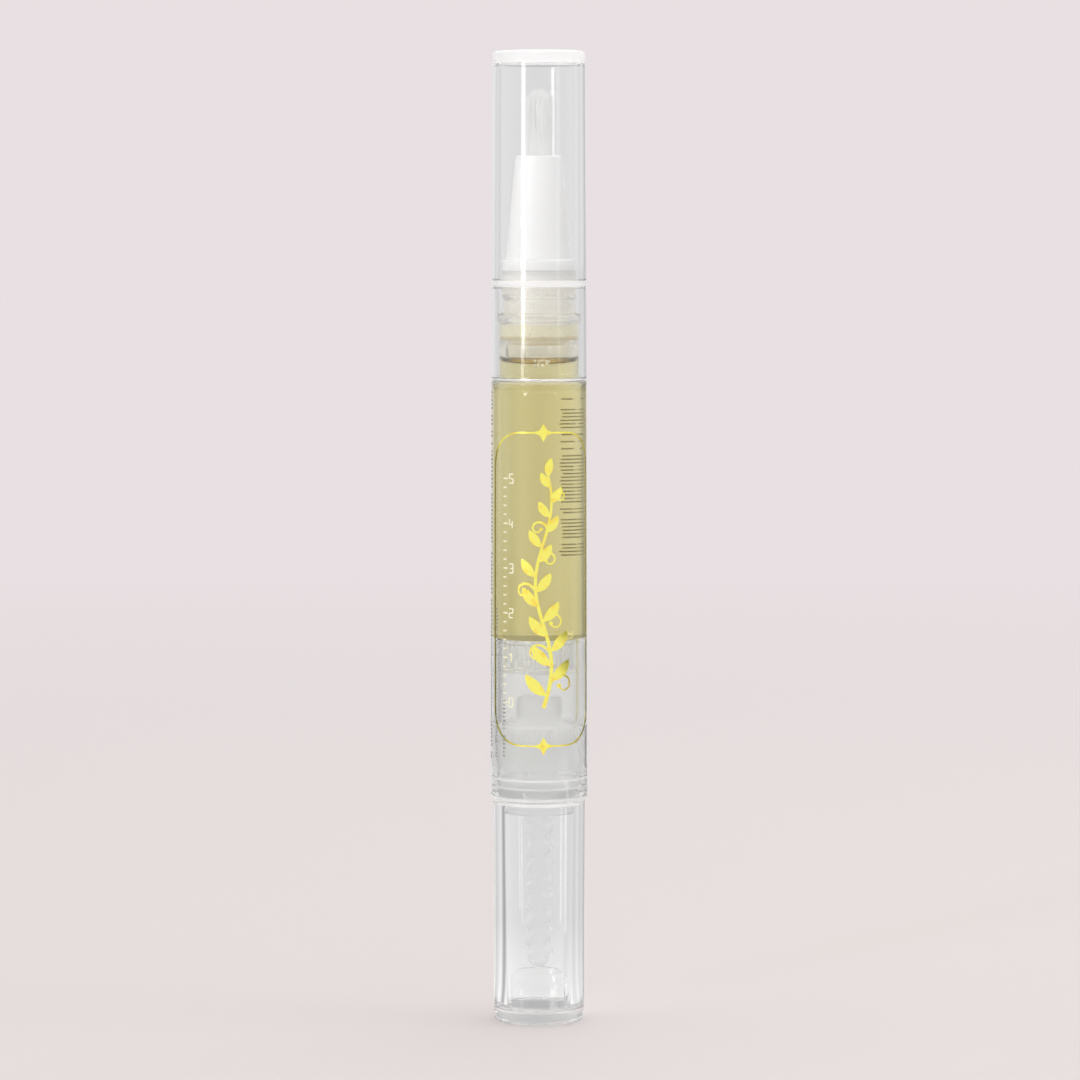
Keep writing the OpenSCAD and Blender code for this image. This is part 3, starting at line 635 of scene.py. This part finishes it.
# Brush holder: white cone on a flange, with a spigot below and sockets for tube and tuft
holderSizes = {"flange": 4.125, "flangeHeight": 1.3, "coneFoot": 3.7, "coneTip": 2.6, "spigot": 2.3,
               "spigotHeight": 4.5, "tubeHole": 1.37, "tuftHole": 1.64, "tuftDepth": 3.8,
               "cuts": (0.1, 0.1, 0.26, 0.26, 0.15, 0.2, 0.1, 0, 0, 0.05)}


def makeHolder(size):
    low, high, _ = nodeSpan("brush_holder")
    seat = low + size["spigotHeight"]
    cone = seat + size["flangeHeight"]
    socket = high - size["tuftDepth"]
    corners = [(size["spigot"], low), (size["spigot"], seat), (size["flange"], seat), (size["flange"], cone),
               (size["coneFoot"], cone), (size["coneTip"], high), (size["tuftHole"], high),
               (size["tuftHole"], socket), (size["tubeHole"], socket), (size["tubeHole"], low)]
    return spun("brushHolder", softCorners(corners, size["cuts"]))


dress(makeHolder(holderSizes), holderPlastic, "barrel", "white_holder", "brush_holder")


# Neck plug and feed tube below the holder
plugSizes = {"body": 3.2, "rib": 3.47, "ribs": 3, "ribHeight": 1.9, "ribLead": 0.9, "tubeHole": 1.37,
             "spigotHole": 2.32, "spigotDepth": 4.52, "edge": 0.06}


def makePlug(size):
    low, high, _ = nodeSpan("neck_plug")
    body, rib, hole = size["body"], size["rib"], size["spigotHole"]
    slope = rib - body
    step = (high - low - slope * 2) / size["ribs"]
    corners = [(size["tubeHole"], low), (body - slope, low), (body, low + slope)]
    for i in range(size["ribs"]):
        foot = low + slope * 2 + step * i
        top = foot + size["ribHeight"]
        corners += [(body, foot - slope * size["ribLead"]), (rib, foot), (rib, top), (body, top + slope)]
    socket = high - size["spigotDepth"]
    corners += [(body, high), (hole, high), (hole, socket), (size["tubeHole"], socket)]
    return spun("neckPlug", softCorners(corners, size["edge"], 6))


dress(makePlug(plugSizes), plugPlastic, "barrel", "natural_plug", "neck_plug")

tubeSizes = {"bore": 0.8, "edge": 0.06}


def makeTube(size):
    low, high, radius = nodeSpan("feed_tube")
    corners = [(radius, low), (radius, high), (size["bore"], high), (size["bore"], low)]
    return spun("feedTube", softCorners(corners, size["edge"], 4), steps=96)


dress(makeTube(tubeSizes), tubePlastic, "barrel", "feed_tube", "feed_tube")


# Bristles: strands on a sunflower spiral, leaning out a little and ending on a dome
tuftSizes = {"strands": 900, "strandRadius": 0.05, "taper": 0.65, "sides": 5, "rings": 9, "lean": 0.05,
             "bend": 0.06, "dome": 1.1, "tipScatter": 0.7, "fill": 0.96, "goldenTurn": 137.508,
             "backing": 0.9, "backingEdge": 0.08, "sunk": 0.2}


def makeTuft(size):
    # strand i stands at radius R sqrt(i / n) and angle i * golden turn; along its length s it leans out
    # by lean * s^2 and bends aside by bend * s^2, and its radius falls with s^4 to a third
    low, high, radius = nodeSpan("brush_bristles")
    n, rings, sides, thin = size["strands"], size["rings"], size["sides"], size["strandRadius"]
    i = np.arange(n) + 0.5
    out = (radius - thin * 2) * size["fill"] * np.sqrt(i / n)
    turn = (np.radians(size["goldenTurn"]) * i)[:, None]
    foot = low + size["backing"] - size["sunk"]
    tip = high - size["dome"] * (out / radius) ** 2 - randomDraws.random(n) * size["tipScatter"]
    s = np.linspace(0, 1, rings)[None, :]
    aside = randomDraws.normal(0, size["bend"], (n, 2))
    away = out[:, None] + (size["lean"] * (out / radius))[:, None] * s**2
    x = away * np.cos(turn) + aside[:, :1] * s**2
    y = away * np.sin(turn) + aside[:, 1:] * s**2
    keep = np.minimum(1, (radius - thin) / np.maximum(np.sqrt(x**2 + y**2), 1e-6))
    z = foot + (tip - foot)[:, None] * s
    thick = (thin * (1 - size["taper"] * s**4) + 0 * z)[..., None]
    a = allRound(sides)[None, None, :]
    points = pointsOf((x * keep)[..., None] + thick * np.cos(a), (y * keep)[..., None] + thick * np.sin(a),
                      z[..., None] + 0 * a)
    return meshPiece("brushTuft", points, tubeFaces(n, rings, sides), sharpAngle=None)


def makeBacking(size):
    low, _, radius = nodeSpan("brush_bristles")
    corners = [(0, low), (radius, low), (radius, low + size["backing"]), (0, low + size["backing"])]
    cuts = [0, size["backingEdge"], size["backingEdge"], 0]
    return spun("tuftBacking", softCorners(corners, cuts, 4), steps=96)


dress(makeTuft(tuftSizes), nylon, "barrel", "nylon_bristle", "brush_bristles")
dress(makeBacking(tuftSizes), nylon, "barrel", "nylon_bristle")
print("brush made")


# Foil print on the barrel's front: a frame with a four-pointed star at top and bottom
printSizes = {"lift": 0.012, "thick": 0.012}
frameSizes = {"turn": 5.3, "wide": 13.1, "low": 31.72, "high": 66.64, "corner": 4, "line": 0.18,
              "sideGrow": 0.9, "starUp": 1.0125, "starUpHalf": 0.55, "starAside": 1.24,
              "starAsideHalf": 0.4125, "starTip": 0.004}


def barrelRadius(z):
    low = nodeSpan("barrel")[0]
    share = (z - low) / (barrelSizes["shoulder"] - low)
    return barrelSizes["footRadius"] + (barrelSizes["topRadius"] - barrelSizes["footRadius"]) * share


def stamp(name, strips, ink, turn=0.0):
    # each strip is a centre line (u, z) and its half width, one number or one for each point; u runs
    # round the barrel to the right of the turn, and the strip is a thin slab wrapped at radius R(z) + lift
    points, faces, start = [], [], 0
    inner, outer = printSizes["lift"], printSizes["lift"] + printSizes["thick"]
    for line, half in strips:
        line = np.asarray(line, float)
        along = np.gradient(line, axis=0)
        along /= np.maximum(np.linalg.norm(along, axis=1, keepdims=True), 1e-9)
        across = pointsOf(-along[:, 1], along[:, 0]) * np.broadcast_to(half, len(line))[:, None]
        edges = np.stack([line - across, line - across, line + across, line + across], axis=1)
        radius = barrelRadius(edges[..., 1]) + np.array([inner, outer, outer, inner])[None, :]
        angle = math.radians(turn) + edges[..., 0] / barrelRadius(edges[..., 1])
        points.append(pointsOf(radius * np.sin(angle), -radius * np.cos(angle), edges[..., 1]).reshape(-1, 3))
        faces += tubeFaces(1, len(line), 4, start)
        start += 4 * len(line)
    dress(meshPiece(name, np.concatenate(points), faces, 40, near=1e-9), ink, "barrel", "clear_barrel")


def frameLine(size, steps=40):
    # a rounded rectangle run round once: straight sides joined by quarter circles
    w, r = size["wide"] / 2, size["corner"]
    low, high = size["low"], size["high"]
    t = np.linspace(0, math.pi / 2, 14)
    quarter = pointsOf(r * np.sin(t), r * (1 - np.cos(t)))
    bottomRight = np.array([w - r, low]) + quarter
    topRight = bottomRight[::-1] * [1, -1] + [0, low + high]
    side = pointsOf(np.full(steps, w), np.linspace(low + r, high - r, steps))[1:-1]
    start = pointsOf(np.linspace(0, w - r, 12), np.full(12, low))[:-1]
    end = pointsOf(np.linspace(w - r, 0, 12), np.full(12, high))[1:]
    half = np.concatenate([start, bottomRight, side, topRight, end])
    whole = np.concatenate([half, (half * [-1, 1])[::-1][1:-1]])
    return np.concatenate([whole, whole[:2]])


def frameStrips(size):
    # the line is printed heavier down the sides: its width grows with (u / half the frame)^4
    line = frameLine(size)
    side = (2 * line[:, 0] / size["wide"]) ** 4
    strips = [(line, size["line"] / 2 * (1 + size["sideGrow"] * side))]
    t = np.linspace(-1, 1, 21)
    for z in (size["low"], size["high"]):
        upright = pointsOf(0 * t, z + t * size["starUp"])
        level = pointsOf(t * size["starAside"], z + 0 * t)
        for star, half in ((upright, size["starUpHalf"]), (level, size["starAsideHalf"])):
            strips.append((star, half * (1 - np.abs(t)) + size["starTip"]))
    return strips


stamp("goldFrame", frameStrips(frameSizes), goldFoil, frameSizes["turn"])

# Leaf sprig: a waving stem with leaves on alternate sides and curled tendrils between them; taper is
# the share that the stem's width and the leaves' and tendrils' length have lost at the top
sprigSizes = {"low": 36, "high": 61.8, "turn": 5.3, "sway": 0.9, "waves": 1.4, "stem": 0.23, "taper": 0.45,
              "leaves": 15, "leafLong": 3.5, "leafWide": 0.62, "leafThin": 0.35, "leafEnd": 0.03,
              "leafPower": 0.8, "leafAngle": 54, "leafAngleFall": 14, "leafCurl": 0.4, "firstLeaf": 0.05,
              "lastLeaf": 0.95, "tendrils": 7, "tendrilStart": 0.75, "tendrilGap": 0.4, "tendrilLong": 5.6,
              "tendrilWide": 0.15, "tendrilThin": 0.5, "tendrilAngle": 35, "curl": 5.4, "bendPower": 1.6,
              "berry": 0.27, "berryFall": 0.4, "topLong": 2.0, "topLean": 0.35, "topWide": 0.434}


def leafHalf(size, s, wide):
    # a leaf's half width is wide * sin(pi s)^0.8 at a share s of its length
    return wide * np.sin(math.pi * s) ** size["leafPower"] + size["leafEnd"]


def sprigStrips(size):
    # stem: u = sway * sin(waves * turn * t), z rises evenly; leaves and tendrils start on it and follow
    # a heading that bends by a power of the length gone
    t = np.linspace(0, 1, 120)
    stemU = size["sway"] * np.sin(size["waves"] * fullTurn * t)
    stem = pointsOf(stemU, size["low"] + (size["high"] - size["low"]) * t)
    strips = [(stem, size["stem"] * (1 - size["taper"] * t))]

    def branch(place, side, angle, bend, long, steps):
        foot = np.array([np.interp(place, t, stem[:, 0]), np.interp(place, t, stem[:, 1])])
        s = np.linspace(0, 1, steps)
        heading = side * (math.radians(angle) + bend * s ** size["bendPower"])
        path = pointsOf(np.sin(heading), np.cos(heading)).cumsum(axis=0) * long / steps
        return s, foot + path

    for i, place in enumerate(np.linspace(size["firstLeaf"], size["lastLeaf"], size["leaves"])):
        angle = size["leafAngle"] - size["leafAngleFall"] * place
        long = size["leafLong"] * (1 - size["taper"] * place)
        s, path = branch(place, 1 if i % 2 else -1, angle, -size["leafCurl"], long, 22)
        strips.append((path, leafHalf(size, s, size["leafWide"] * (1 - size["leafThin"] * place))))
    r = np.linspace(-1, 1, 15)
    for i in range(size["tendrils"]):
        place = (i + size["tendrilStart"]) / (size["tendrils"] + size["tendrilGap"])
        long = size["tendrilLong"] * (1 - size["taper"] * place)
        s, path = branch(place, -1 if i % 2 else 1, size["tendrilAngle"], size["curl"], long, 60)
        strips.append((path, size["tendrilWide"] * (1 - size["tendrilThin"] * s)))
        # a berry at its end, a disc a little blunt above and below
        berry = size["berry"] * (1 - size["berryFall"] * place)
        strips.append((path[-1] + pointsOf(0 * r, r * berry), berry * np.sqrt(1 - 0.98 * r**2)))
    s = np.linspace(0, 1, 22)
    top = stem[-1] + pointsOf(size["topLean"] * s**2, size["topLong"] * s)
    strips.append((top, leafHalf(size, s, size["topWide"])))
    return strips


stamp("goldSprig", sprigStrips(sprigSizes), goldFoil, sprigSizes["turn"])

# Fill scale on the left: ticks, and the plain numbers 0 to 5 beside the long ones
scaleSizes = {"low": 36.5, "high": 61.5, "ticks": 26, "left": -0.72, "short": 0.46, "long": 0.66, "every": 5,
              "line": 0.17, "turn": -39.5, "digitLeft": 0.16, "digitUnit": 0.5, "digitLine": 0.15}
# strokes of each number on a grid 1 wide and 2 high
digitStrokes = [[[(0, 0), (1, 0), (1, 2), (0, 2), (0, 0)]], [[(0.2, 1.6), (0.6, 2), (0.6, 0)]],
                [[(0, 2), (1, 2), (1, 1.1), (0, 0.9), (0, 0), (1, 0)]],
                [[(0, 2), (1, 2), (1, 0), (0, 0)], [(0.3, 1), (1, 1)]],
                [[(0.1, 2), (0, 0.8), (1, 0.8)], [(0.8, 1.5), (0.8, 0)]],
                [[(1, 2), (0, 2), (0, 1.1), (1, 0.9), (1, 0), (0, 0)]]]


def evenLine(points, gap=0.05):
    # the same broken line with a point about every gap, so that it bends with the barrel
    p = np.array(points, float)
    far = np.concatenate([[0], np.cumsum(np.linalg.norm(np.diff(p, axis=0), axis=1))])
    s = np.union1d(np.linspace(0, far[-1], max(3, int(far[-1] / gap))), far)
    return pointsOf(np.interp(s, far, p[:, 0]), np.interp(s, far, p[:, 1]))


def scaleStrips(size):
    strips = []
    unit = size["digitUnit"]
    for i, z in enumerate(np.linspace(size["low"], size["high"], size["ticks"])):
        length = size["short"] if i % size["every"] else size["long"]
        strips.append((evenLine([(size["left"], z), (size["left"] + length, z)]), size["line"] / 2))
        if i % size["every"]:
            continue
        for stroke in digitStrokes[i // size["every"]]:
            line = evenLine(np.array(stroke) * unit + [size["digitLeft"], z - unit])
            strips.append((line, size["digitLine"] / 2))
    return strips


stamp("fillScale", scaleStrips(scaleSizes), creamFoil, scaleSizes["turn"])

# Grey hatching on the back, seen through the oil, and down the left side: columns of short strokes
hatchSizes = {"leftOut": 0.07, "shift": 0.2, "leastHalf": 0.32, "grow": 0.18}
hatchSets = [{"turn": 168.1, "low": 52.4, "high": 70.3, "step": 0.4, "wide": 0.5, "line": 0.165},
             {"turn": -80, "low": 30, "high": 71, "step": 0.44, "wide": 0.9, "line": 0.22},
             {"turn": -60.5, "low": 30, "high": 47, "step": 0.4, "wide": 0.32, "line": 0.19},
             {"turn": -45.8, "low": 30, "high": 37, "step": 0.44, "wide": 0.42, "line": 0.17}]


def hatchStrips(size, columns):
    # each stroke has its own length and place, and some are left out; sizes are shares of the width
    strips = []
    for column in columns:
        for z in np.arange(column["low"], column["high"], column["step"]):
            keep, grow, shift = randomDraws.random(3)
            if keep < size["leftOut"]:
                continue
            wide = column["wide"]
            middle = math.radians(column["turn"]) * barrelRadius(z) + (shift - 0.5) * size["shift"] * wide
            half = wide * (size["leastHalf"] + size["grow"] * grow)
            strips.append((evenLine([(middle - half, z), (middle + half, z)]), column["line"] / 2))
    return strips


stamp("greyHatching", hatchStrips(hatchSizes, hatchSets), greyInk)
print("print made")


# Stage: pale floor that fades into the background, grey cards all round seen only through the pen
stageSizes = {"floorRadius": 4.0, "steps": 96, "fade": (0.10, 0.55), "pale": (0.807, 0.745, 0.760),
              "floorColour": (0.655, 0.612, 0.605), "cardShare": 0.85, "shade": (0.007, 0.013),
              "glowNear": 1.22, "glow": (0.013, 0.06), "nearStart": (0.18, 0.2), "nearEnd": (0.5, 0.8)}
# the grey cards that clear parts show: (turn in degrees to the right of straight behind, brightness)
worldCards = [(-180, 0.70), (-96, 0.74), (-70, 0.80), (-63, 0.42), (-52, 0.42), (-46, 0.80), (-22, 0.78),
              (0, 0.70), (22, 0.78), (41, 0.82), (50, 0.66), (62, 0.66), (74, 0.80), (96, 0.74)]
floorCards = [(-180, 0.66), (-96, 0.70), (-70, 0.76), (-63, 0.38), (-53, 0.38), (-46, 0.82), (-22, 0.74),
              (0, 0.65), (22, 0.74), (41, 0.82), (50, 0.70), (62, 0.66), (74, 0.78), (96, 0.70)]
# and what glossy faces mirror: two dark cards stand behind, one at either side
mirrorCards = [(-180, 0.95), (-67, 0.9), (-60, 0.1), (-44, 0.1), (-37, 0.9), (14, 0.9), (22, 0.12),
               (38, 0.12), (43, 0.5), (52, 0.3), (62, 0.3), (72, 0.9)]
# the floor from 0.2 to 0.5 m off is darker at both sides there, which the frame's lower corners show
nearMirrorCards = [(-180, 0.95), (-130, 0.9), (-112, 0.12), (-44, 0.1), (-37, 0.9), (14, 0.9), (22, 0.12),
                   (112, 0.12), (130, 0.9)]


def cardGlow(tree, vector, cards, behind=0.75):
    # a radial gradient gives the direction's turn, as a share of a full one: 0.75 is straight behind,
    # and to the right it gets less
    sweep = newNode(tree, "TexGradient", {"Vector": vector}, "Fac", gradient_type="RADIAL")
    colour = newNode(tree, "ValToRGB", {"Fac": sweep}, "Color")
    stops = colour.node.color_ramp.elements
    while len(stops) < len(cards):
        stops.new(0.5)
    placed = sorted(((behind - turn / 360) % 1, grey) for turn, grey in cards)
    for stop, (place, grey) in zip(stops, placed):
        stop.position = place
        stop.color = (grey, grey, grey, 1)
    return colour


def makeFloor(size):
    a = allRound(size["steps"])
    ring = pointsOf(np.cos(a), np.sin(a), 0 * a) * size["floorRadius"]
    mesh = bpy.data.meshes.new("floor")
    mesh.from_pydata(ring, [], [list(range(size["steps"]))])
    floor = addPiece("floor", mesh)
    made, tree, shader, out = material("paleFloor")
    setSockets(shader, {"Base Color": size["floorColour"], "Roughness": 0.9, "Specular IOR Level": 0.1})
    place = newNode(tree, "TexCoord", {}, "Object")
    far = newNode(tree, "VectorMath", {0: place}, "Value", operation="LENGTH")
    path = newNode(tree, "LightPath", {}).node.outputs
    seen = worked(tree, "MAXIMUM", path["Is Camera Ray"], path["Is Glossy Ray"])
    glow = newNode(tree, "Emission", {"Color": size["pale"]})
    fade = worked(tree, "MULTIPLY", remap(tree, far, 0, 1, *size["fade"]), seen)
    surface = mixShaders(tree, fade, shader.outputs["BSDF"], glow)
    # close to the foot clear parts show the floor itself, with its shadow
    whole = remap(tree, far, 0, size["cardShare"], *size["shade"])
    near = worked(tree, "MULTIPLY", remap(tree, far, 0, 1, *size["nearStart"]),
                  remap(tree, far, 1, 0, *size["nearEnd"]))
    glowing = remap(tree, far, size["glowNear"], 1, *size["glow"])
    for ray, cards, reach in (("Is Glossy Ray", mirrorCards, whole), ("Is Glossy Ray", nearMirrorCards, near),
                              ("Is Transmission Ray", floorCards, whole)):
        card = newNode(tree, "Emission", {"Color": cardGlow(tree, place, cards), "Strength": glowing})
        surface = mixShaders(tree, worked(tree, "MULTIPLY", path[ray], reach), surface, card)
    setSockets(out, {"Surface": surface})
    mesh.materials.append(made)


makeFloor(stageSizes)

worldSizes = {"skyColour": (1, 0.985, 0.98), "sky": (0.72, 1.0), "skyHeights": (-0.5, 1.0), "cardTop": 1.5,
              "topHeights": (0.3, 0.8), "dip": 0.62, "dipHeight": 0.18, "dipReach": (0.1, 0.14)}


def makeWorld(size):
    # rays from the camera see the plain background and rays out of clear parts see the grey cards,
    # brighter overhead; all others see a soft sky
    world = bpy.data.worlds.new("studio")
    world.use_nodes = True
    tree = world.node_tree
    sky = tree.nodes["Background"]
    place = newNode(tree, "TexCoord", {}, "Generated")
    height = heightOf(tree, place)
    setSockets(sky, {"Color": size["skyColour"],
                     "Strength": remap(tree, height, *size["sky"], *size["skyHeights"])})
    pale = newNode(tree, "Background", {"Color": stageSizes["pale"]})
    over = remap(tree, height, 1, size["cardTop"], *size["topHeights"])
    # a darker strip a little above the horizon, which the foot disc shows
    off = worked(tree, "ABSOLUTE", worked(tree, "SUBTRACT", height, size["dipHeight"]))
    dip = remap(tree, off, size["dip"], 1, *size["dipReach"])
    cards = newNode(tree, "Background", {"Color": cardGlow(tree, place, worldCards),
                                         "Strength": worked(tree, "MULTIPLY", over, dip)})
    mirror = newNode(tree, "Background", {"Color": cardGlow(tree, place, mirrorCards)})
    path = newNode(tree, "LightPath", {}).node.outputs
    surface = sky.outputs["Background"]
    for ray, shown in (("Is Camera Ray", pale), ("Is Glossy Ray", mirror), ("Is Transmission Ray", cards)):
        surface = mixShaders(tree, path[ray], surface, shown)
    setSockets(tree.nodes["World Output"], {"Surface": surface})
    bpy.context.scene.world = world


makeWorld(worldSizes)

# a lamp's turn is its angle round the pen from the front, to the right; strength is its radiance; it
# looks level unless it has an aim height, and the rays named in hidden miss it
lampSet = {
    "leftStrip": {"turn": -40.5, "away": 0.62, "height": 0.40, "wide": 0.09, "tall": 0.70, "strength": 5.5},
    "rightStrip": {"turn": 50, "away": 0.62, "height": 0.40, "wide": 0.07, "tall": 0.70, "strength": 1.2},
    "lowStrip": {"turn": 68, "away": 0.055, "height": 0.011, "wide": 0.006, "tall": 0.020, "strength": 3.0,
                 "hidden": ["diffuse"]},
    "rightFill": {"turn": 82, "away": 0.55, "height": 0.25, "wide": 0.30, "tall": 0.50, "strength": 1.2,
                  "aim": 0.058, "hidden": ["glossy", "transmission"]},
    "overhead": {"turn": 150, "away": 0.35, "height": 0.75, "wide": 0.5, "tall": 0.5, "strength": 1.6,
                 "aim": 0.058},
}


def placeLamp(name, lamp):
    data = bpy.data.lights.new(name, "AREA")
    data.shape = "RECTANGLE"
    data.size, data.size_y = lamp["wide"], lamp["tall"]
    data.energy = lamp["strength"] * math.pi * lamp["wide"] * lamp["tall"]
    turn = math.radians(lamp["turn"])
    spot = Vector((math.sin(turn) * lamp["away"], -math.cos(turn) * lamp["away"], lamp["height"]))
    light = bpy.data.objects.new(name, data)
    light.location = spot
    aim = Vector((0, 0, lamp.get("aim", lamp["height"]))) - spot
    light.rotation_euler = aim.to_track_quat("-Z", "Y").to_euler()
    for sight in ["camera"] + lamp.get("hidden", []):
        setattr(light, "visible_" + sight, False)
    bpy.context.scene.collection.objects.link(light)


for lampName, lampValues in lampSet.items():
    placeLamp(lampName, lampValues)

scene = bpy.context.scene
scene.view_settings.view_transform = "Standard"
scene.cycles.max_bounces = 32
scene.cycles.transmission_bounces = 28
scene.cycles.transparent_max_bounces = 24
scene.cycles.glossy_bounces = 12
scene.cycles.diffuse_bounces = 12
print("stage set")
